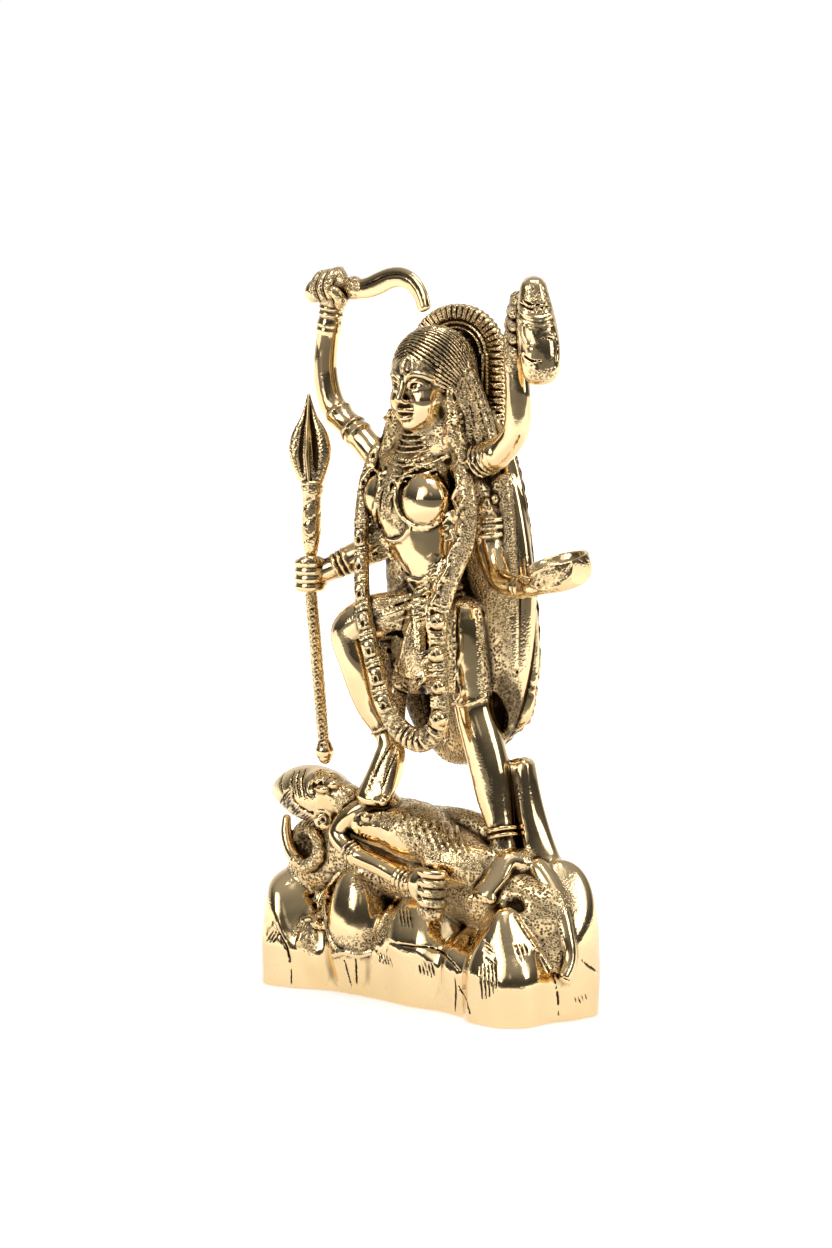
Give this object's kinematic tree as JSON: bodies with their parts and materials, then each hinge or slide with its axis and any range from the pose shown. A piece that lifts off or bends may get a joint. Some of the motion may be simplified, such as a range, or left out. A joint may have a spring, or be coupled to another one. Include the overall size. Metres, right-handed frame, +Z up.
{
  "type": "kali idol",
  "caption": "Cast brass Kali idol: the goddess strides over the reclining Shiva on a boulder plinth, holding a sword, spear, bowl and severed head, with a garland of heads.",
  "frame": {"origin": "on the plinth's flat underside, below the goddess", "axes": "+Z up, +Y towards the goddess's back, +X towards her left"},
  "size_m": [0.1727, 0.0564, 0.2988],
  "materials": {
    "brass": "polished, dark in the recesses"
  },
  "bodies": {
    "root": {"goddess_and_plinth": "brass", "spear": "brass"}
  },
  "joints": []
}
